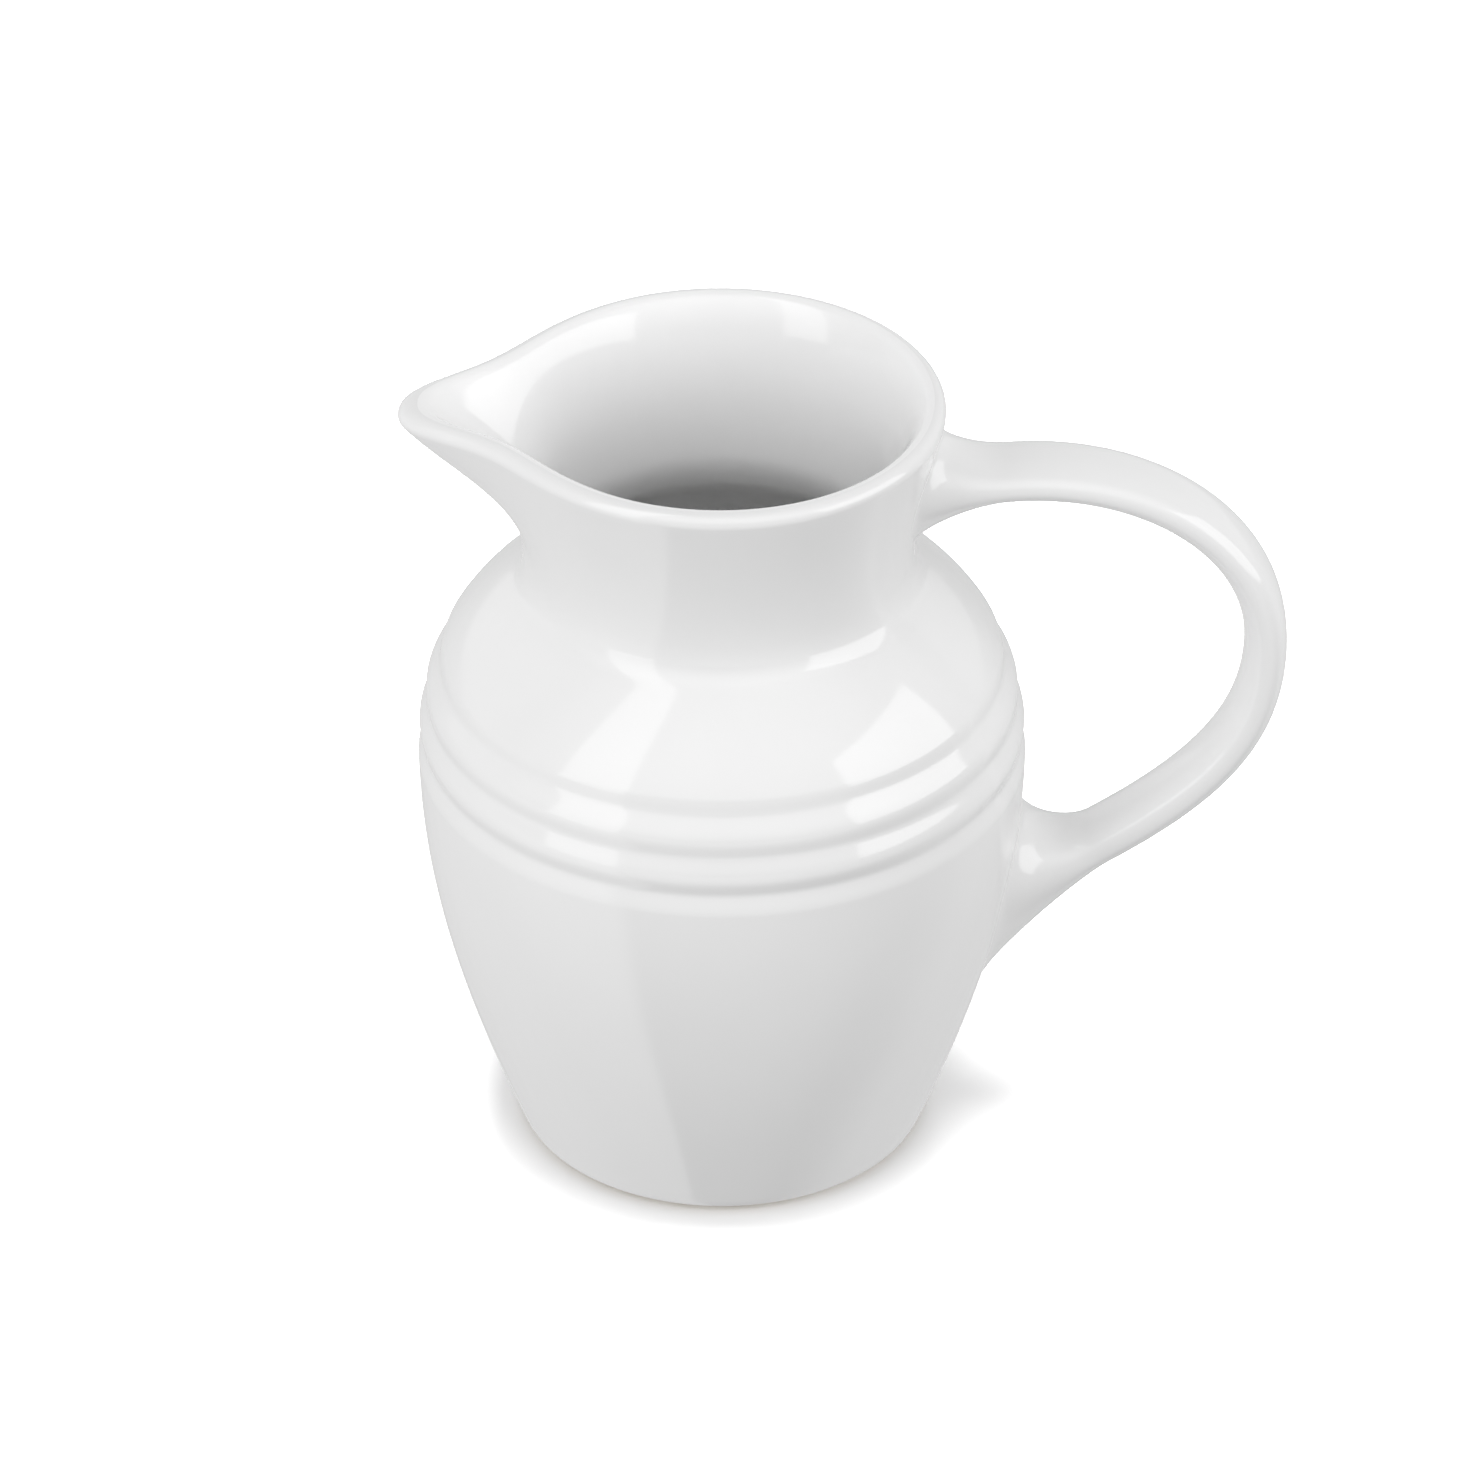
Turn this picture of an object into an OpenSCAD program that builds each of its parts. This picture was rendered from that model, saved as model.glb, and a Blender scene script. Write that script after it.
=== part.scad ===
// Small glazed stoneware pitcher: a bellied vessel with three thrown rings round its shoulder,
// a flared neck with a pulled pouring lip, and one strap handle luted on with slip.
// Millimetres, +Z up. The origin is the centre of the foot, on the table.
// The pouring lip points along -X and the handle along +X, so XZ is the plane of symmetry.

/* [Vessel] */
// Height of the rim above the table
rim_h = 145; // [141:1:150]
// Greatest radius of the belly
belly_r = 52.8; // [51.5:0.1:54]
// Height of the greatest radius
belly_z = 75; // [70:1:78]
// Radius of the vessel at the table, before the foot is rounded
base_r = 35.6; // [34:0.2:38]
// Radius of the narrowest part of the neck
throat_r = 33; // [31:0.2:34]
// Height of the narrowest part of the neck
throat_z = 116; // [114:1:118]
// Outside radius of the rim, away from the pouring lip
rim_r = 38.1; // [36.5:0.1:39.5]
// Thickness of the wall at the belly
wall = 4.6; // [3.5:0.1:6]
// Thickness of the rounded rim
rim_t = 4; // [3:0.2:5]
// Height of the inside floor above the table
floor_h = 7; // [6:0.5:10]

/* [Thrown rings] */
// Height of the top edge of the highest ring groove
groove_top = 95.6; // [94:0.2:96]
// Height from one groove to the next
groove_pitch = 7.1; // [6.5:0.1:7.5]
// Number of grooves
groove_count = 3; // [1:1:3]
// Depth of a groove
groove_d = 0.8; // [0:0.1:1.2]

/* [Foot] */
// Outside radius of the ring that rests on the table
foot_r = 33.6; // [32:0.2:34]
// Inside radius of the ring that rests on the table
recess_r = 27.5; // [24:0.5:29]
// Depth of the recess under the floor
recess_d = 2.2; // [1.5:0.1:3]
// Height of the lower edge of the outside glaze
glaze_line = 1.6; // [1.2:0.1:3]

/* [Pouring lip] */
// Distance from the axis to the tip of the pouring lip
lip_reach = 55; // [48:0.2:56]
// Half angle at which the pull of the lip has fallen to half
lip_angle = 13.4; // [11:0.1:16]
// How quickly the pull falls away on either side
lip_sharpness = 2.5; // [2:0.1:3]

/* [Handle] */
// Width of the strap
strap_w = 15; // [13:0.5:17]
// Width of the strap at the lower joint
strap_low_w = 13.4; // [12:0.2:17]
// Thickness of the strap
strap_t = 7; // [6:0.2:8]
// Thickness of the strap at the lower joint
strap_low_t = 7.8; // [6:0.2:9]
// Distance from the axis to the middle of the strap at its farthest point
handle_reach = 93.8; // [90:0.2:98]
// Height of the farthest point of the strap
handle_reach_z = 96; // [92:1:100]
// Height of the strap where it leaves the upper joint
handle_top_z = 130.4; // [129:0.2:132]

/* [Glaze] */
// Thickness of the fired glaze
glaze_t = 0.35; // [0.2:0.05:0.5]

/* [Hidden] */
$fn = 64;

STONEWARE = [0.86, 0.82, 0.74];
SLIP = [0.80, 0.75, 0.66];
GLAZE = [0.95, 0.95, 0.94];

// ---------- curves ----------

// Point of the cubic Bezier p at t
function bezier(p, t) =
    pow(1 - t, 3) * p[0] + 3 * pow(1 - t, 2) * t * p[1] + 3 * (1 - t) * t * t * p[2] + pow(t, 3) * p[3];

// Points of the cubic Bezier p from t = 0 up to, but not at, t = 1
function bezier_path(p, n) = [for (i = [0:n - 1]) bezier(p, i / n)];

// Smooth step from 0 to 1 as t goes from 0 to 1
function smooth(t) = let(c = min(max(t, 0), 1)) c * c * (3 - 2 * c);

function mix(a, b, t) = a + (b - a) * t;

// ---------- meridian of the glazed vessel, as [radius, height] ----------

// The neck starts at this height on the shoulder; everything below is a surface of revolution
NECK_Z = 109;
NECK_R = 35.8;
SHOULDER_IN = 31;

// Table of [height, radius] for the smooth outside of belly and shoulder, without the grooves
BELLY = [[base_r, 0], [46.4, 28], [belly_r - 0.2, 50], [belly_r, belly_z]];
SHOULDER = [[belly_r, belly_z], [belly_r, 90], [48.4, 98.8], [NECK_R, NECK_Z]];
ENVELOPE = [
    for (p = concat(bezier_path(BELLY, 40), bezier_path(SHOULDER, 40), [SHOULDER[3]])) [p[1], p[0]]
];

// A groove steps in over STEP_IN below its top edge, and comes back over COME_BACK from FLOOR_AT on
STEP_IN = 3.6;
FLOOR_AT = 2.6;
COME_BACK = 4.4;
function groove_shape(s) = smooth(s / STEP_IN) * (1 - smooth((s - FLOOR_AT) / COME_BACK));

function groove_depth(z) = groove_d * max(
    [for (i = [0:groove_count - 1]) groove_shape(groove_top - i * groove_pitch - z)]
);

// Outside radius of the glazed vessel below the neck
function outside_r(z) = lookup(z, ENVELOPE) - groove_depth(z);

// Heights at which the outside is sampled: coarse on the belly, fine over the grooves
RINGS_LOW = 74;
RINGS_HIGH = 97;
function steps(from, to, n) = [for (i = [0:n - 1]) from + i * (to - from) / n];
OUTSIDE_Z = concat(
    steps(glaze_line, RINGS_LOW, 18),
    steps(RINGS_LOW, RINGS_HIGH, 34),
    steps(RINGS_HIGH, NECK_Z, 6)
);
OUTSIDE_LOW = [for (z = OUTSIDE_Z) [outside_r(z), z]];

// Inside of the belly, from the neck down to the middle of the floor
INSIDE_LOW = concat(
    bezier_path([[SHOULDER_IN, NECK_Z], [33.8, 103.7], [belly_r - wall, 97], [belly_r - wall, belly_z]], 12),
    bezier_path([[belly_r - wall, belly_z], [belly_r - wall, 48], [42, 26], [34, floor_h + 7]], 12),
    bezier_path([[34, floor_h + 7], [29.5, floor_h + 1], [22, floor_h], [12, floor_h]], 8),
    [[12, floor_h], [0, floor_h]]
);

// The rim is an ellipse in the meridian: [centre radius, centre height, half width, half height]
RIM = [rim_r - rim_t / 2, rim_h - rim_t / 2, rim_t / 2, rim_t / 2];
TIP = [lip_reach - 3.4, rim_h - 2.9, 3.4, 2.1];

// Angles on those ellipses where the outside comes in, at rim and tip, and where the inside goes on.
// The control points next to them lie along the ellipse's own direction there, so no crease shows.
RIM_LOW = -16;
TIP_LOW = -29;
RIM_IN = 140;

// Point of the rim's ellipse at the angle a, where 0 faces outwards and 90 is the crown
function rim_point(rim, a) = [rim[0] + rim[2] * cos(a), rim[1] + rim[3] * sin(a)];

// Control points of the outside from the shoulder to the rim: first away from the lip, then along it
NECK_OUT = [
    [[NECK_R, NECK_Z], [34.2, 110.3], [throat_r, 112], [throat_r, throat_z]],
    [[throat_r, throat_z], [throat_r, 123], [35.4, 133], rim_point(RIM, RIM_LOW)]
];
LIP_OUT = [
    [[NECK_R, NECK_Z], [34.9, 109.8], [34.1, 111.6], [34.1, throat_z]],
    [[34.1, throat_z], [34.1, 126.4], [46.5, 132.2], rim_point(TIP, TIP_LOW)]
];

// Control points of the inside from the rim to the shoulder: first away from the lip, then along it
NECK_IN = [
    [rim_point(RIM, RIM_IN), [31.4, 140.5], [28.9, 129], [28.9, throat_z]],
    [[28.9, throat_z], [28.9, 113.5], [29.8, 111.3], [SHOULDER_IN, NECK_Z]]
];
LIP_IN = [
    [rim_point(TIP, RIM_IN), [44.2, 139.9], [33, 131.5], [30, throat_z]],
    [[30, throat_z], [29.7, 113.5], [29.8, 111.3], [SHOULDER_IN, NECK_Z]]
];

// Pull of the lip at the angle a from -X: 1 at the tip, and none at all beyond FADE_FROM + FADE_OVER
FADE_FROM = 60;
FADE_OVER = 50;
function fade(a) = 1 - smooth((abs(a) - FADE_FROM) / FADE_OVER);
function pull(a) = fade(a) / (1 + pow(abs(a) / lip_angle, lip_sharpness));

// The channel inside the lip is wider and softer than the rim above it
CHANNEL_ANGLE = 21;
function channel_pull(a) = fade(a) / (1 + pow(a / CHANNEL_ANGLE, 2));

function mix_curve(a, b, t) = [for (i = [0:3]) mix(a[i], b[i], t)];

// Outside of the neck at the pull p, from the shoulder to just before the crown of the rim
function neck_outside(p) =
    let(rim = mix(RIM, TIP, p), low = mix(RIM_LOW, TIP_LOW, p))
    concat(
        bezier_path(mix_curve(NECK_OUT[0], LIP_OUT[0], p), 5),
        bezier_path(mix_curve(NECK_OUT[1], LIP_OUT[1], p), 7),
        [for (i = [0:3]) rim_point(rim, mix(low, 90, i / 4))]
    );

// Inside of the neck at the pull p of the rim and q of the channel, from the crown to the shoulder
function neck_inside(p, q) =
    let(
        rim = mix(RIM, TIP, p),
        high = mix_curve(NECK_IN[0], LIP_IN[0], p),
        deep = mix_curve(NECK_IN[0], LIP_IN[0], q)
    )
    concat(
        [for (i = [0:3]) rim_point(rim, mix(90, RIM_IN, i / 4))],
        bezier_path([high[0], high[1], deep[2], deep[3]], 7),
        bezier_path(mix_curve(NECK_IN[1], LIP_IN[1], q), 4),
        [[SHOULDER_IN, NECK_Z]]
    );

// The whole meridian at the angle a from -X, from the glaze line outside to the middle of the floor
function meridian(a) = concat(
    OUTSIDE_LOW,
    neck_outside(pull(a)),
    neck_inside(pull(a), channel_pull(a)),
    [for (i = [1:len(INSIDE_LOW) - 1]) INSIDE_LOW[i]]
);
FIRST_NECK = len(OUTSIDE_LOW);
CROWN = FIRST_NECK + len(neck_outside(0));
LAST_NECK = CROWN + len(neck_inside(0, 0)) - 1;

// Unit normal of the path at i, pointing into the wall
function wall_normal(path, i) =
    let(
        a = path[max(i - 1, 0)],
        b = path[min(i + 1, len(path) - 1)],
        d = (b - a) / norm(b - a)
    )
    [-d[1], d[0]];

// The path moved into the wall by d. Where neck and belly meet, it moves level, so the cut stays flat
function into_wall(path, d) = [
    for (i = [0:len(path) - 1])
        let(n = wall_normal(path, i))
        i == FIRST_NECK || i == LAST_NECK
            ? path[i] + [d / n[0], 0]
            : i == len(path) - 1 ? path[i] - [0, d] : path[i] + d * n
];

function part_of(path, first, last) = [for (i = [first:last]) path[i]];
function reversed(list) = [for (i = [len(list) - 1:-1:0]) list[i]];

GLAZED = meridian(180);
BARE = into_wall(GLAZED, glaze_t);

// ---------- solids through rings of points ----------

// Two triangles from points i and i+1 of one ring to the same points of the next ring
function strip(a, b, n) = [
    for (j = [0:n - 1])
        let(k = (j + 1) % n)
        each [[a + j, b + k, a + k], [a + j, b + j, b + k]]
];

// Closed solid through rings that follow one another in a closed loop
module ring_loop(rings) {
    n = len(rings[0]);
    m = len(rings);
    polyhedron(
        points = [for (r = rings) each r],
        faces = [for (i = [0:m - 1]) each strip(i * n, ((i + 1) % m) * n, n)],
        convexity = 8
    );
}

// Closed solid through rings, closed at each end by a fan to a point
module capped_rings(rings, first_point, last_point) {
    n = len(rings[0]);
    m = len(rings);
    polyhedron(
        points = concat([for (r = rings) each r], [first_point, last_point]),
        faces = concat(
            [for (i = [0:m - 2]) each strip(i * n, (i + 1) * n, n)],
            [for (j = [0:n - 1]) [m * n, j, (j + 1) % n]],
            [for (j = [0:n - 1]) [m * n + 1, (m - 1) * n + (j + 1) % n, (m - 1) * n + j]]
        ),
        convexity = 8
    );
}

// ---------- neck and pouring lip ----------

// Angles from -X round the neck: fine steps across the lip, coarse ones round the back
NECK_ANGLES = concat(
    [for (a = [-36:3:36]) a],
    [for (i = [1:39]) let(a = 36 + i * 288 / 40) a > 180 ? a - 360 : a]
);

// The neck's solid is set this far into the wall below it, so that the two join as one
SET_IN = 0.4;

// Inset of that part from the faces of the wall, and the same for a coat, as shares of its thickness
WALL_INSET = 1;
COAT_INSET = [0.25, 0.75];

// Solid round the neck. loops gives the loop of [radius, height] round the section at an angle from -X
module neck_solid(loops) {
    ring_loop([
        for (a = NECK_ANGLES)
            [for (p = loops(a)) [-p[0] * cos(a), p[0] * sin(a), p[1]]]
    ]);
}

// Loop of the meridian round the bare neck
bare_neck = function (a)
    let(
        path = into_wall(meridian(a), glaze_t),
        foot_out = path[FIRST_NECK] - [WALL_INSET, SET_IN],
        foot_in = path[LAST_NECK] + [WALL_INSET, -SET_IN]
    )
    concat([foot_out], part_of(path, FIRST_NECK + 1, LAST_NECK - 1), [foot_in]);

// Loop of the meridian round the outside coat on the neck, up to the crown of the rim
outer_coat = function (a)
    let(
        path = meridian(a),
        deep = into_wall(path, glaze_t),
        skin = path[FIRST_NECK],
        back = deep[FIRST_NECK]
    )
    concat(
        [mix(skin, back, COAT_INSET[0]) - [0, SET_IN]],
        part_of(path, FIRST_NECK + 1, CROWN),
        reversed(part_of(deep, FIRST_NECK + 1, CROWN)),
        [mix(skin, back, COAT_INSET[1]) - [0, SET_IN]]
    );

// Loop of the meridian round the inside coat on the neck, down from the crown of the rim
inner_coat = function (a)
    let(
        path = meridian(a),
        deep = into_wall(path, glaze_t),
        skin = path[LAST_NECK],
        back = deep[LAST_NECK]
    )
    concat(
        part_of(path, CROWN, LAST_NECK - 1),
        [mix(skin, back, COAT_INSET[0]) - [0, SET_IN], mix(skin, back, COAT_INSET[1]) - [0, SET_IN]],
        reversed(part_of(deep, CROWN, LAST_NECK - 1))
    );

// ---------- handle ----------

RING_POINTS = 24;

// Middle line of the strap, as [x, z], from the upper joint to the lower one
STRAP_TOP = [
    [49, handle_top_z], [71.5, handle_top_z + 2],
    [handle_reach, handle_reach_z + 23.1], [handle_reach, handle_reach_z]
];
STRAP_LOW = [
    [handle_reach, handle_reach_z], [handle_reach, handle_reach_z - 16.8],
    [84.9, 68], [66, 55.7]
];
STRAP_LINE = concat(bezier_path(STRAP_TOP, 16), bezier_path(STRAP_LOW, 14), [STRAP_LOW[3]]);

// Direction of the strap's middle line at the point i
function strap_dir(i) =
    let(
        a = STRAP_LINE[max(i - 1, 0)],
        b = STRAP_LINE[min(i + 1, len(STRAP_LINE) - 1)]
    )
    (b - a) / norm(b - a);

// Rounded strap section: value of the superellipse for a cosine or sine c
SQUARENESS = 0.86;
function rounded(c) = sign(c) * pow(abs(c), SQUARENESS);

// Point of the strap's ring i at the angle a, set in by d; 90 faces away from the vessel
function strap_point(i, a, d) =
    let(
        t = strap_dir(i),
        down = smooth(i / LAST_RING),
        across = (mix(strap_w, strap_low_w, down) / 2 - d) * rounded(cos(a)),
        out = (mix(strap_t, strap_low_t, down) / 2 - d) * rounded(sin(a)),
        c = STRAP_LINE[i]
    )
    [c[0] - t[1] * out, across, c[1] + t[0] * out];

// Footprints of the joints: [middle height, height above it, height below it, half width]
UPPER_FOOT = [129.5, 9.5, 11.5, 11.5];
LOWER_FOOT = [49, 14, 22, 14.5];

// Table of [height, radius] for the glazed outside at the handle
HANDLE_SIDE = [for (i = [0:CROWN - 1]) [GLAZED[i][1], GLAZED[i][0]]];

// Point of the vessel at the share s of the footprint f in the direction a, at the depth d
function foot_point(f, a, s, d) =
    let(
        y = f[3] * cos(a) * s,
        z = f[0] + (sin(a) > 0 ? f[1] : f[2]) * sin(a) * s,
        r = lookup(z, HANDLE_SIDE) - d
    )
    [sqrt(r * r - y * y), y, z];

// A fillet first runs on along the strap, and then comes down on the vessel from inside the footprint
RUN_ON = 6;
COME_DOWN = 0.8;

// Point at the share t of the fillet from the strap's end i to the footprint f, at the depth d.
// way is 1 where the strap leaves the vessel and -1 where it comes back to it.
function fillet_point(f, i, way, a, t, d) =
    let(
        start = strap_point(i, a, d),
        dir = strap_dir(i) * -way,
        end = foot_point(f, way * a, 1, d),
        near = foot_point(f, way * a, COME_DOWN, d)
    )
    bezier([start, start + RUN_ON * [dir[0], 0, dir[1]], near, end], t);

FILLET_STEPS = 7;
LAST_RING = len(STRAP_LINE) - 1;

function ring_angles() = [for (j = [0:RING_POINTS - 1]) j * 360 / RING_POINTS];

function strap_ring(i, d) = [for (a = ring_angles()) strap_point(i, a, d)];

function fillet_ring(f, i, way, k, d) = [
    for (a = ring_angles()) fillet_point(f, i, way, a, k / FILLET_STEPS, d)
];

function foot_ring(f, way, s, d) = [for (a = ring_angles()) foot_point(f, way * a, s, d)];

// Rings from the upper footprint along the strap to the lower footprint, at the depth d
function handle_rings(d) = concat(
    [for (k = [FILLET_STEPS:-1:1]) fillet_ring(UPPER_FOOT, 0, 1, k, d)],
    [for (i = [0:LAST_RING]) strap_ring(i, d)],
    [for (k = [1:FILLET_STEPS]) fillet_ring(LOWER_FOOT, LAST_RING, -1, k, d)]
);

// Luting joint: a fillet of slip from the footprint f to the strap's end i
module luting(f, i, way) {
    base = [for (s = [0.3, 0.65]) foot_ring(f, way, s, glaze_t)];
    fillet = [for (k = [FILLET_STEPS:-1:0]) fillet_ring(f, i, way, k, glaze_t)];
    base_middle = foot_point(f, 0, 0, glaze_t);
    strap_middle = [STRAP_LINE[i][0], 0, STRAP_LINE[i][1]];
    if (way > 0)
        capped_rings(concat(base, fillet), base_middle, strap_middle);
    else
        capped_rings(reversed(concat(base, fillet)), strap_middle, base_middle);
}

// Straight cutter through the outside glaze, with the outline of the footprint f
module glaze_window(f) {
    outline = [for (a = ring_angles()) let(p = foot_point(f, a, 1, 0)) [p[1], p[2]]];
    rotate([90, 0, 90]) linear_extrude(height = handle_reach) polygon(outline);
}

// ---------- parts ----------

// Fired stoneware body with its foot ring
module body() {
    soft = 0.6;
    foot = [
        [0, recess_d], [recess_r - soft, recess_d], [recess_r, recess_d - soft],
        [recess_r, soft], [recess_r + soft, 0], [foot_r, 0],
        [foot_r + soft, soft / 3], [BARE[0][0] - soft / 4, 1.5 * soft]
    ];
    color(STONEWARE)
    union() {
        rotate_extrude()
        polygon(concat(
            foot,
            part_of(BARE, 0, FIRST_NECK),
            part_of(BARE, LAST_NECK, len(BARE) - 1)
        ));
        neck_solid(bare_neck);
    }
}

module handle() {
    first = STRAP_LINE[0];
    last = STRAP_LINE[LAST_RING];
    color(STONEWARE)
    capped_rings(
        [for (i = [0:LAST_RING]) strap_ring(i, glaze_t)],
        [first[0], 0, first[1]],
        [last[0], 0, last[1]]
    );
}

module upper_handle_joint() {
    color(SLIP) luting(UPPER_FOOT, 0, 1);
}

module lower_handle_joint() {
    color(SLIP) luting(LOWER_FOOT, LAST_RING, -1);
}

// Coat on the outside, from the glaze line to the crown of the rim, open where the handle is luted on
module outer_glaze() {
    color(GLAZE)
    difference() {
        union() {
            rotate_extrude()
            polygon(concat(part_of(GLAZED, 0, FIRST_NECK), reversed(part_of(BARE, 0, FIRST_NECK))));
            neck_solid(outer_coat);
        }
        glaze_window(UPPER_FOOT);
        glaze_window(LOWER_FOOT);
    }
}

// Coat on the inside, from the crown of the rim to the middle of the floor
module inner_glaze() {
    end = len(GLAZED) - 1;
    color(GLAZE)
    union() {
        rotate_extrude()
        polygon(concat(part_of(GLAZED, LAST_NECK, end), reversed(part_of(BARE, LAST_NECK, end))));
        neck_solid(inner_coat);
    }
}

// Coat over the strap and both joints
module handle_glaze() {
    color(GLAZE) ring_loop(concat(handle_rings(0), reversed(handle_rings(glaze_t))));
}

// Coat inside the recess under the floor
module recess_glaze() {
    color(GLAZE)
    translate([0, 0, recess_d - glaze_t]) cylinder(h = glaze_t, r = recess_r - 2 * glaze_t);
}

body();
handle();
upper_handle_joint();
lower_handle_joint();
outer_glaze();
inner_glaze();
handle_glaze();
recess_glaze();
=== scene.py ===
"""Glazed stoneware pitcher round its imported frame: glaze, bare foot, studio floor, lights and camera."""
import math

import bpy
import numpy as np
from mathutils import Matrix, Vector


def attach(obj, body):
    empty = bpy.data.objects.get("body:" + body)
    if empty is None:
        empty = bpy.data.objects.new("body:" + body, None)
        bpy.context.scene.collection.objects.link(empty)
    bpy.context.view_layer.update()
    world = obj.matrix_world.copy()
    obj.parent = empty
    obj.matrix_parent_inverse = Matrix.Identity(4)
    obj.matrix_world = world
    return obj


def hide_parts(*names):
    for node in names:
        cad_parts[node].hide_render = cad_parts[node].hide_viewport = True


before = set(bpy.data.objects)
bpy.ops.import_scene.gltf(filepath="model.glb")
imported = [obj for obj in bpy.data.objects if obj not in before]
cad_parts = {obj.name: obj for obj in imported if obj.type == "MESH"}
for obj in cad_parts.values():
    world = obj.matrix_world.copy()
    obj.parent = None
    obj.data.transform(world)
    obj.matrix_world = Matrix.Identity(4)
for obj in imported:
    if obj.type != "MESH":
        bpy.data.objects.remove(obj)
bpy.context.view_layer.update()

MM = 0.001

# ---------- shape of the vessel, in millimetres ----------
RIM_H, RIM_R, RIM_T = 145.0, 38.1, 4.0
BELLY_R, BELLY_Z, BASE_R = 52.8, 75.0, 35.6
THROAT_R, THROAT_Z = 33.0, 116.0
NECK_R, NECK_Z, SHOULDER_IN = 35.8, 109.0, 31.0
WALL, FLOOR_H = 4.6, 7.0
GLAZE_LINE, GLAZE_T = 1.6, 0.35
FOOT_R, RECESS_R, RECESS_D = 33.6, 27.5, 2.2
LIP_REACH, LIP_ANGLE, LIP_SHARPNESS = 55.0, 13.4, 2.5
LIP_FADE_FROM, LIP_FADE_OVER, CHANNEL_ANGLE = 60.0, 50.0, 21.0
GROOVE_TOPS = (95.6, 88.5, 81.4)
GROOVE_D, STEP_IN, FLOOR_AT, COME_BACK = 0.8, 3.6, 2.6, 4.4
TIP_HALF_W, TIP_HALF_H, TIP_DROP = 3.4, 2.1, 2.9

# ---------- shape of the handle ----------
REACH, REACH_Z, TOP_Z = 93.8, 96.0, 130.4
STRAP_W, STRAP_LOW_W, STRAP_T, STRAP_LOW_T, SQUARENESS = 15.0, 13.4, 7.0, 7.8, 0.86
# where a root meets the vessel: height, reach above it, reach below it, half width
UPPER_FOOT = (129.5, 9.5, 11.5, 11.5)
LOWER_FOOT = (49.0, 14.0, 22.0, 14.5)
# a fillet runs on along the strap, comes down at a share of its foot, and ends just under the surface
RUN_ON, COME_DOWN, FILLET_SET_IN = 6.0, 0.8, 0.02
FILLET_STEPS, CLOSE_UP = 36, 1.6


def smooth(t):
    """0 up to t = 0, 1 from t = 1 on, and a soft step between."""
    c = np.clip(t, 0.0, 1.0)
    return c * c * (3 - 2 * c)


def bezier(p, t):
    """Points at the shares t along the cubic with the control points p."""
    p = [np.asarray(q, float) for q in p]
    t = np.asarray(t, float)[..., None]
    return (1 - t) ** 3 * p[0] + 3 * (1 - t) ** 2 * t * p[1] + 3 * (1 - t) * t * t * p[2] + t**3 * p[3]


def mix(a, b, t):
    """a at t = 0 and b at t = 1."""
    return np.asarray(a, float) + (np.asarray(b, float) - np.asarray(a, float)) * t


# ---------- meridian of the glazed vessel ----------
FINE = np.linspace(0, 1, 400)
BELLY = [[BASE_R, 0], [46.4, 28], [BELLY_R - 0.2, 50], [BELLY_R, BELLY_Z]]
SHOULDER = [[BELLY_R, BELLY_Z], [BELLY_R, 90], [48.4, 98.8], [NECK_R, NECK_Z]]
ENVELOPE = np.vstack([bezier(BELLY, FINE)[:-1], bezier(SHOULDER, FINE)])


def groove_depth(z):
    """A groove steps in below its top edge, and comes back slowly from its floor on."""
    below = [top - z for top in GROOVE_TOPS]
    shapes = [smooth(b / STEP_IN) * (1 - smooth((b - FLOOR_AT) / COME_BACK)) for b in below]
    return GROOVE_D * np.max(shapes, axis=0)


def outside_r(z):
    """Radius of the outside below the neck, grooves and all."""
    return np.interp(z, ENVELOPE[:, 1], ENVELOPE[:, 0]) - groove_depth(z)


# the rim is an ellipse in the meridian: centre radius, centre height, half width, half height
RIM = np.array([RIM_R - RIM_T / 2, RIM_H - RIM_T / 2, RIM_T / 2, RIM_T / 2])
TIP = np.array([LIP_REACH - TIP_HALF_W, RIM_H - TIP_DROP, TIP_HALF_W, TIP_HALF_H])
# angles on it where the outside comes in, at rim and tip, and where the inside goes on
RIM_LOW, TIP_LOW, RIM_IN = -16.0, -29.0, 140.0


def rim_point(rim, a):
    """Point of the rim's ellipse at the angle a, where 0 faces outwards and 90 is the crown."""
    middle_r, middle_z, half_w, half_h = rim
    a = np.radians(a)
    return np.stack([middle_r + half_w * np.cos(a), middle_z + half_h * np.sin(a)], axis=-1)


# control points away from the lip and at its middle. Those next to the rim lie on its tangent
NECK_OUT = [
    [[NECK_R, NECK_Z], [34.2, 110.3], [THROAT_R, 112], [THROAT_R, THROAT_Z]],
    [[THROAT_R, THROAT_Z], [THROAT_R, 123], [35.4, 133], rim_point(RIM, RIM_LOW)],
]
LIP_OUT = [
    [[NECK_R, NECK_Z], [34.9, 109.8], [34.1, 111.6], [34.1, THROAT_Z]],
    [[34.1, THROAT_Z], [34.1, 126.4], [46.5, 132.2], rim_point(TIP, TIP_LOW)],
]
NECK_IN = [
    [rim_point(RIM, RIM_IN), [31.4, 140.5], [28.9, 129], [28.9, THROAT_Z]],
    [[28.9, THROAT_Z], [28.9, 113.5], [29.8, 111.3], [SHOULDER_IN, NECK_Z]],
]
LIP_IN = [
    [rim_point(TIP, RIM_IN), [44.2, 139.9], [33, 131.5], [30, THROAT_Z]],
    [[30, THROAT_Z], [29.7, 113.5], [29.8, 111.3], [SHOULDER_IN, NECK_Z]],
]
INSIDE = [
    [[SHOULDER_IN, NECK_Z], [33.8, 103.7], [BELLY_R - WALL, 97], [BELLY_R - WALL, BELLY_Z]],
    [[BELLY_R - WALL, BELLY_Z], [BELLY_R - WALL, 48], [42, 26], [34, FLOOR_H + 7]],
    [[34, FLOOR_H + 7], [29.5, FLOOR_H + 1], [22, FLOOR_H], [12, FLOOR_H]],
]


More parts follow.
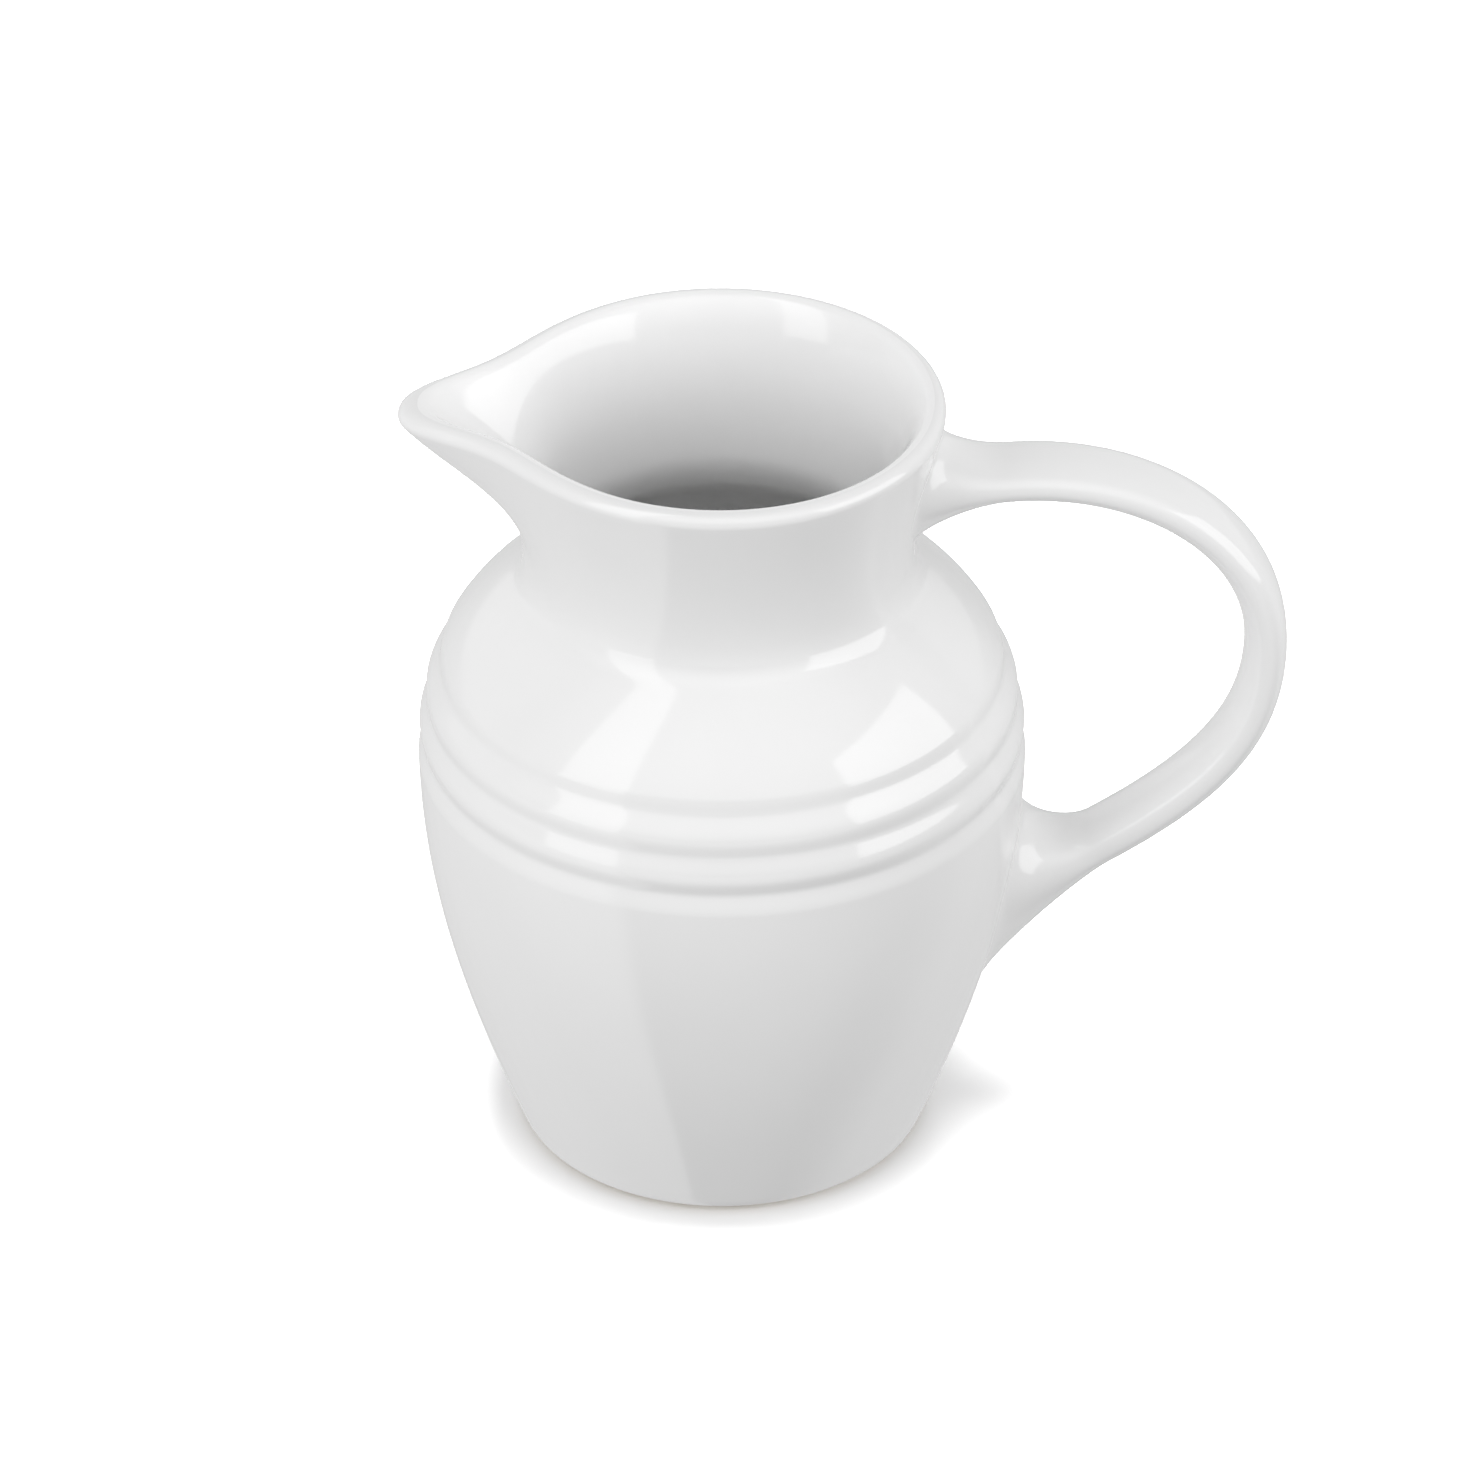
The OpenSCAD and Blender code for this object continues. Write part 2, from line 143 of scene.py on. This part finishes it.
def fade(a):
    """1 near the lip and 0 well away from it, so that the rest of the rim stays round."""
    return 1 - smooth((abs(a) - LIP_FADE_FROM) / LIP_FADE_OVER)


def pull(a):
    """Pull of the lip at the angle a from -X, in degrees."""
    return float(fade(a) / (1 + (abs(a) / LIP_ANGLE) ** LIP_SHARPNESS))


def channel_pull(a):
    """Pull of the channel inside the lip, wider and softer than the rim above it."""
    return float(fade(a) / (1 + (a / CHANNEL_ANGLE) ** 2))


def mixed(a, b, p):
    """Control points between those of a and b."""
    return [mix(u, v, p) for u, v in zip(a, b)]


# heights of the outside's rings: coarse on the belly, fine over the grooves
RINGS_LOW, RINGS_HIGH = 74.0, 97.0
LOW_Z = np.concatenate([
    np.linspace(GLAZE_LINE, RINGS_LOW, 60, endpoint=False),
    np.linspace(RINGS_LOW, RINGS_HIGH, 110, endpoint=False),
    np.linspace(RINGS_HIGH, NECK_Z, 16, endpoint=False),
])


def outside_path(a):
    """Outside from the glaze line to the crown of the rim, at the angle a from -X."""
    p = pull(a)
    rim = mix(RIM, TIP, p)
    low = float(mix(RIM_LOW, TIP_LOW, p))
    t = np.linspace(0, 1, 18, endpoint=False)
    u = np.linspace(0, 1, 28, endpoint=False)
    return np.vstack([
        np.column_stack([outside_r(LOW_Z), LOW_Z]),
        bezier(mixed(NECK_OUT[0], LIP_OUT[0], p), t),
        bezier(mixed(NECK_OUT[1], LIP_OUT[1], p), u),
        rim_point(rim, np.linspace(low, 90, 15)),
    ])


def inside_path(a):
    """Inside from the crown of the rim down to the middle of the floor, at the angle a from -X."""
    p, q = pull(a), channel_pull(a)
    rim = mix(RIM, TIP, p)
    high, deep = mixed(NECK_IN[0], LIP_IN[0], p), mixed(NECK_IN[0], LIP_IN[0], q)
    t = np.linspace(0, 1, 30, endpoint=False)
    return np.vstack([
        rim_point(rim, np.linspace(90, RIM_IN, 10, endpoint=False)),
        bezier([*high[:2], *deep[2:]], t),
        bezier(mixed(NECK_IN[1], LIP_IN[1], q), t[::3]),
        bezier(INSIDE[0], t),
        bezier(INSIDE[1], t),
        bezier(INSIDE[2], np.linspace(0, 1, 13)),
    ])


# ---------- meshes ----------
def add(name, data):
    """A new object in the scene."""
    made = bpy.data.objects.new(name, data)
    bpy.context.scene.collection.objects.link(made)
    return made


def make_mesh(name, points, faces):
    """A smooth mesh object from points in millimetres."""
    mesh = bpy.data.meshes.new(name)
    mesh.from_pydata((np.asarray(points) * MM).tolist(), [], faces)
    mesh.validate()
    mesh.update()
    mesh.polygons.foreach_set("use_smooth", [True] * len(mesh.polygons))
    return add(name, mesh)


def grid_faces(rows, columns, flip=False):
    """Quads of a grid of rows that each close round on themselves."""
    faces = []
    for i in range(rows - 1):
        for j in range(columns):
            k = (j + 1) % columns
            quad = (i * columns + j, i * columns + k, (i + 1) * columns + k, (i + 1) * columns + j)
            faces.append(quad[::-1] if flip else quad)
    return faces


def turned(path_at, columns):
    """Rings of points of a surface round Z, from a function that gives the meridian at an angle."""
    degrees = np.arange(columns) * 360.0 / columns
    paths = []
    for d in degrees:
        paths.append(path_at(d if d <= 180 else d - 360))
    paths = np.array(paths)
    c, s = np.cos(np.radians(degrees)), np.sin(np.radians(degrees))
    x = -paths[..., 0] * c[:, None]
    y = paths[..., 0] * s[:, None]
    return np.stack([x, y, paths[..., 1]], axis=-1).transpose(1, 0, 2)


AROUND = 288
# the coat's lower edge rounds in under itself: depth behind its face, and drop below the glaze line
COAT_EDGE = ((0.4, 0.1), (0.22, 0.2), (0.08, 0.14))


def outer_coat():
    """Glaze over the outside, from the glaze line to the crown of the rim."""
    rings = turned(outside_path, AROUND)
    edge = []
    for depth, drop in COAT_EDGE:
        ring = rings[0].copy()
        r = np.hypot(ring[:, 0], ring[:, 1])
        ring[:, :2] *= ((r - depth) / r)[:, None]
        ring[:, 2] -= drop
        edge.append(ring)
    rings = np.concatenate([np.array(edge), rings])
    return make_mesh("outer_glaze_coat", rings.reshape(-1, 3), grid_faces(len(rings), AROUND, flip=True))


def inner_coat():
    """Glaze over the inside, from the crown of the rim to the floor."""
    rings = turned(inside_path, AROUND)
    points = rings.reshape(-1, 3)
    faces = grid_faces(len(rings), AROUND, flip=True)
    last = (len(rings) - 1) * AROUND
    points = np.vstack([points, [[0, 0, FLOOR_H]]])
    faces += [(last + (j + 1) % AROUND, last + j, len(points) - 1) for j in range(AROUND)]
    return make_mesh("inner_glaze_coat", points, faces)


# middle line of the strap, between its two fillets: over the top to its furthest reach, and down
STRAP_OVER = [[49, TOP_Z], [71.5, TOP_Z + 2], [REACH, REACH_Z + 23.1], [REACH, REACH_Z]]
STRAP_DOWN = [[REACH, REACH_Z], [REACH, REACH_Z - 16.8], [84.9, 68], [66, 55.7]]
STRAP_LINE = np.vstack([
    bezier(STRAP_OVER, np.linspace(0, 1, 60, endpoint=False)),
    bezier(STRAP_DOWN, np.linspace(0, 1, 55)),
])
STRAP_DIR = np.gradient(STRAP_LINE, axis=0)
STRAP_DIR /= np.linalg.norm(STRAP_DIR, axis=1)[:, None]
HANDLE_SIDE = outside_path(180.0)
STRAP_ROUND = 80
RING_A = np.radians(np.arange(STRAP_ROUND) * 360.0 / STRAP_ROUND)


def rounded(c):
    """Squares off a circle's cosine or sine a little, for a strap with full edges."""
    return np.sign(c) * np.abs(c) ** SQUARENESS


def strap_ring(i):
    """Ring i of the strap. The section narrows and thickens towards the lower joint."""
    down = smooth(i / (len(STRAP_LINE) - 1))
    across = mix(STRAP_W, STRAP_LOW_W, down) / 2 * rounded(np.cos(RING_A))
    out = mix(STRAP_T, STRAP_LOW_T, down) / 2 * rounded(np.sin(RING_A))
    c, t = STRAP_LINE[i], STRAP_DIR[i]
    return np.column_stack([c[0] - t[1] * out, across, c[1] + t[0] * out])


def foot_ring(foot, way, share):
    """Ring on the vessel's surface at a share of a root's foot. way is the turning sense, 1 or -1."""
    middle, up, down, half_w = foot
    a = way * RING_A
    y = half_w * np.cos(a) * share
    z = middle + np.where(np.sin(a) > 0, up, down) * np.sin(a) * share
    r = np.interp(z, HANDLE_SIDE[:, 1], HANDLE_SIDE[:, 0])
    return np.column_stack([np.sqrt(r * r - y * y), y, z])


def fillet_rings(foot, i, way, shares):
    """Rings from ring i of the strap to a foot, at the shares of the way."""
    start = strap_ring(i)
    d = STRAP_DIR[i] * -way
    run = start + RUN_ON * np.array([d[0], 0, d[1]])
    near, end = foot_ring(foot, way, COME_DOWN), foot_ring(foot, way, 1.0)
    end = end - [FILLET_SET_IN, 0, 0]
    return [bezier([start, run, near, end], t) for t in shares]


def handle_coat():
    """Glaze over the strap and the fillets at its two roots."""
    # the rings close up towards the neck and belly, where the fillet turns into them
    shares = 1 - (1 - np.linspace(0, 1, FILLET_STEPS + 1)[1:]) ** CLOSE_UP
    last = len(STRAP_LINE) - 1
    rings = fillet_rings(UPPER_FOOT, 0, 1, shares[::-1])
    rings += [strap_ring(i) for i in range(last + 1)]
    rings += fillet_rings(LOWER_FOOT, last, -1, shares)
    points = np.concatenate(rings)
    return make_mesh("handle_glaze_coat", points, grid_faces(len(rings), STRAP_ROUND))


# radius and height at the bottom of the clay: recess and its corner, then the foot from inside to outside
FOOT_PROFILE = [
    (0.01, RECESS_D), (RECESS_R - 1.4, RECESS_D),
    (RECESS_R - 0.6, RECESS_D - 0.1), (RECESS_R - 0.15, RECESS_D - 0.35), (RECESS_R, RECESS_D - 0.8),
    (RECESS_R, 0.75), (RECESS_R + 0.1, 0.3), (RECESS_R + 0.35, 0.08), (RECESS_R + 0.8, 0),
    ((RECESS_R + FOOT_R) / 2, 0), (FOOT_R - 0.2, 0),
    (FOOT_R + 0.25, 0.06), (FOOT_R + 0.7, 0.25), (FOOT_R + 1.15, 0.6),
    (BASE_R - 0.15, 1.0), (BASE_R + 0.15, GLAZE_LINE),
]
# the clay follows the coat's inner face from here up
CLAY_FROM = 2.4


def bare_body():
    """Bare clay: foot ring and recess, and the vessel's outside under the coat up to the neck."""
    profile = list(FOOT_PROFILE)
    low = np.array([z for z in LOW_Z if z > CLAY_FROM])
    profile += list(zip(outside_r(low) - GLAZE_T, low))
    rings = []
    columns = 180
    a = np.arange(columns) * 2 * math.pi / columns
    for r, z in profile:
        rings.append(np.column_stack([-r * np.cos(a), r * np.sin(a), np.full(columns, z)]))
    return make_mesh("stoneware_body", np.concatenate(rings), grid_faces(len(rings), columns, flip=True))


# ---------- materials ----------
def material(name):
    """A new material, its node tree and its shader."""
    mat = bpy.data.materials.new(name)
    mat.use_nodes = True
    tree = mat.node_tree
    return mat, tree, tree.nodes["Principled BSDF"]


def noise(tree, scale, detail=2.0, roughness=0.5):
    """Noise in the object's own coordinates. scale is in features per metre."""
    coords = tree.nodes.new("ShaderNodeTexCoord")
    n = tree.nodes.new("ShaderNodeTexNoise")
    n.inputs["Scale"].default_value = scale
    n.inputs["Detail"].default_value = detail
    n.inputs["Roughness"].default_value = roughness
    tree.links.new(coords.outputs["Object"], n.inputs["Vector"])
    return n


def ramp(tree, source, low, high, dark, light):
    """Colour of a noise value: dark up to low, light from high on."""
    r = tree.nodes.new("ShaderNodeValToRGB")
    r.color_ramp.elements[0].position = low
    r.color_ramp.elements[0].color = (*dark, 1)
    r.color_ramp.elements[1].position = high
    r.color_ramp.elements[1].color = (*light, 1)
    tree.links.new(source, r.inputs["Fac"])
    return r


def glaze(name, light, dark, roughness):
    """Opaque white glaze under a thin clear gloss."""
    mat, tree, bsdf = material(name)
    # broad drifts of tone, as where the glaze lies thicker
    drift = noise(tree, scale=22.0, detail=3.0)
    tone = ramp(tree, drift.outputs["Fac"], 0.35, 0.65, dark, light)
    tree.links.new(tone.outputs["Color"], bsdf.inputs["Base Color"])
    # a fired surface: faint ripples some 8 mm long
    ripple = noise(tree, scale=130.0)
    bump = tree.nodes.new("ShaderNodeBump")
    bump.inputs["Strength"].default_value = 0.03
    bump.inputs["Distance"].default_value = 0.0006
    tree.links.new(ripple.outputs["Fac"], bump.inputs["Height"])
    tree.links.new(bump.outputs["Normal"], bsdf.inputs["Normal"])
    bsdf.inputs["Roughness"].default_value = roughness
    bsdf.inputs["IOR"].default_value = 1.52
    bsdf.inputs["Coat Weight"].default_value = 0.25
    bsdf.inputs["Coat Roughness"].default_value = 0.04
    return mat


def clay(name):
    """Unglazed stoneware: fine gritty grain, warm and matt."""
    mat, tree, bsdf = material(name)
    grain = noise(tree, scale=900.0, detail=6.0, roughness=0.7)
    tone = ramp(tree, grain.outputs["Fac"], 0.3, 0.7, (0.5, 0.44, 0.36), (0.78, 0.73, 0.65))
    tree.links.new(tone.outputs["Color"], bsdf.inputs["Base Color"])
    bump = tree.nodes.new("ShaderNodeBump")
    bump.inputs["Strength"].default_value = 0.5
    bump.inputs["Distance"].default_value = 0.0002
    tree.links.new(grain.outputs["Fac"], bump.inputs["Height"])
    tree.links.new(bump.outputs["Normal"], bsdf.inputs["Normal"])
    bsdf.inputs["Roughness"].default_value = 0.85
    return mat


white = glaze("white_glaze", (0.86, 0.86, 0.86), (0.84, 0.84, 0.84), 0.1)
# the inside has the same white glaze as the outside; its lighter colour here is painted light that
# brightens the inside walls
inside_painted_light = glaze("liner_glaze", (0.94, 0.94, 0.94), (0.92, 0.92, 0.92), 0.1)
bare = clay("bare_stoneware")

PIECES = [
    (outer_coat, "outer_glaze", "glaze", white),
    (inner_coat, "inner_glaze", "liner_glaze", inside_painted_light),
    (handle_coat, "handle_glaze", "glaze", white),
    (bare_body, "body", "stoneware", bare),
]
for build, cad_node, slot, mat in PIECES:
    piece = build()
    piece.data.materials.append(mat)
    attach(piece, "root")
    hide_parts(cad_node)

for name, mat in (
    ("handle", bare), ("upper_handle_joint", bare), ("lower_handle_joint", bare), ("recess_glaze", white),
):
    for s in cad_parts[name].material_slots:
        s.material = mat

# ---------- studio ----------
FLOOR_HALF = 6.0
floor_mesh = bpy.data.meshes.new("floor")
floor_corners = [(x * FLOOR_HALF, y * FLOOR_HALF, 0) for x, y in ((-1, -1), (1, -1), (1, 1), (-1, 1))]
floor_mesh.from_pydata(floor_corners, [], [(0, 1, 2, 3)])
floor = add("floor", floor_mesh)
floor_mat, _, floor_bsdf = material("pale_floor")
floor_bsdf.inputs["Base Color"].default_value = (0.92, 0.92, 0.92, 1)
floor_bsdf.inputs["Roughness"].default_value = 0.9
floor_bsdf.inputs["Specular IOR Level"].default_value = 0.0
floor.data.materials.append(floor_mat)
# the pitcher sees the world's dimmer table below it, so that the bright floor doesn't wash it out
floor.visible_diffuse = False
floor.visible_glossy = False
floor.visible_shadow = False

world = bpy.data.worlds.new("studio")
bpy.context.scene.world = world
world.use_nodes = True
sky = world.node_tree
background = sky.nodes["Background"]
background.inputs["Color"].default_value = (1, 1, 1, 1)


def calc(op, a, b):
    """A math node of the world. a and b are sockets or numbers."""
    n = sky.nodes.new("ShaderNodeMath")
    n.operation = op
    for socket, value in zip(n.inputs, (a, b)):
        if isinstance(value, (int, float)):
            socket.default_value = value
        else:
            sky.links.new(value, socket)
    return n.outputs[0]


def glow(strength, part):
    """One part of the room, at its strength."""
    return calc("MULTIPLY", part, strength)


def total(parts):
    """Sum of the parts."""
    result = parts[0]
    for part in parts[1:]:
        result = calc("ADD", result, part)
    return result


axes = sky.nodes.new("ShaderNodeSeparateXYZ")
sky.links.new(sky.nodes.new("ShaderNodeTexCoord").outputs["Generated"], axes.inputs[0])
to_right, to_back, to_top = axes.outputs
right = calc("MAXIMUM", to_right, 0.0)
left = calc("MAXIMUM", calc("MULTIPLY", to_right, -1.0), 0.0)
back = calc("MAXIMUM", to_back, 0.0)
front = calc("MAXIMUM", calc("MULTIPLY", to_back, -1.0), 0.0)
above = calc("GREATER_THAN", to_top, 0.0)
below = calc("LESS_THAN", to_top, 0.0)
bearing = calc("ARCTAN2", to_right, calc("MULTIPLY", to_back, -1.0))


def side_of_table(start, full):
    """1 on the bearings past full, in degrees, 0 before start, and a soft edge between."""
    n = sky.nodes.new("ShaderNodeMapRange")
    n.interpolation_type = "SMOOTHSTEP"
    n.inputs["From Min"].default_value = math.radians(start)
    n.inputs["From Max"].default_value = math.radians(full)
    sky.links.new(bearing, n.inputs["Value"])
    return n.outputs["Result"]


table_left, table_right = side_of_table(-34, -42), side_of_table(60, 115)
# the walls are brightest where the front one meets the ceiling, so light falls well down into the neck
cove = calc("MULTIPLY", to_top, front)
walls = total([glow(2.55, cove), glow(0.8, back), glow(0.61, left), glow(0.5, right)])
table = total([glow(0.6, front), glow(0.69, table_left), glow(0.67, table_right)])
room = calc("ADD", calc("MULTIPLY", walls, above), calc("MULTIPLY", table, below))
sky.links.new(room, background.inputs["Strength"])


def softbox(name, at, aim, width, height, power):
    """A flat lamp at a place in metres, turned towards aim, with its power in watts."""
    data = bpy.data.lights.new(name, "AREA")
    data.shape = "RECTANGLE"
    data.size, data.size_y = width, height
    data.energy = power
    lamp = add(name, data)
    lamp.location = at
    lamp.rotation_euler = (Vector(aim) - Vector(at)).to_track_quat("-Z", "Y").to_euler()
    return lamp


def standing(name, azimuth, distance, middle, width, height, power):
    """An upright softbox at an azimuth from the camera's side, in degrees."""
    a = math.radians(azimuth)
    at = (distance * math.sin(a), -distance * math.cos(a), middle)
    return softbox(name, at, (0, 0, middle), width, height, power)


# a tall narrow softbox on the left, and a low broad one on the right
standing("softbox_left", azimuth=-49.5, distance=0.9, middle=1.75, width=0.43, height=3.4, power=6.3)
standing("softbox_right", azimuth=73.0, distance=1.2, middle=0.52, width=1.12, height=0.92, power=5.7)
# a lamp that lights the floor alone, straight above the pitcher, keeps it white round a close shadow
floor_only = bpy.data.collections.new("floor_only")
floor_only.objects.link(floor)
overhead = softbox("overhead_floor", at=(0, 0, 1.6), aim=(0, 0, 0), width=0.8, height=0.8, power=60.0)
overhead.light_linking.receiver_collection = floor_only

# ---------- camera ----------
# degrees above the table and metres from the aim, then millimetres
ELEVATION, DISTANCE = 33.61, 1.5
AIM = (0.00139, 0.0, 0.07756)
LENS, SENSOR = 212.8586, 36.0
cam_data = bpy.data.cameras.new("camera")
cam_data.sensor_width = SENSOR
cam_data.lens = LENS
cam = add("camera", cam_data)
tilt = math.radians(ELEVATION)
cam.location = (AIM[0], AIM[1] - DISTANCE * math.cos(tilt), AIM[2] + DISTANCE * math.sin(tilt))
cam.rotation_euler = (math.radians(90 - ELEVATION), 0, 0)
bpy.context.scene.camera = cam
bpy.context.scene.view_settings.view_transform = "Standard"
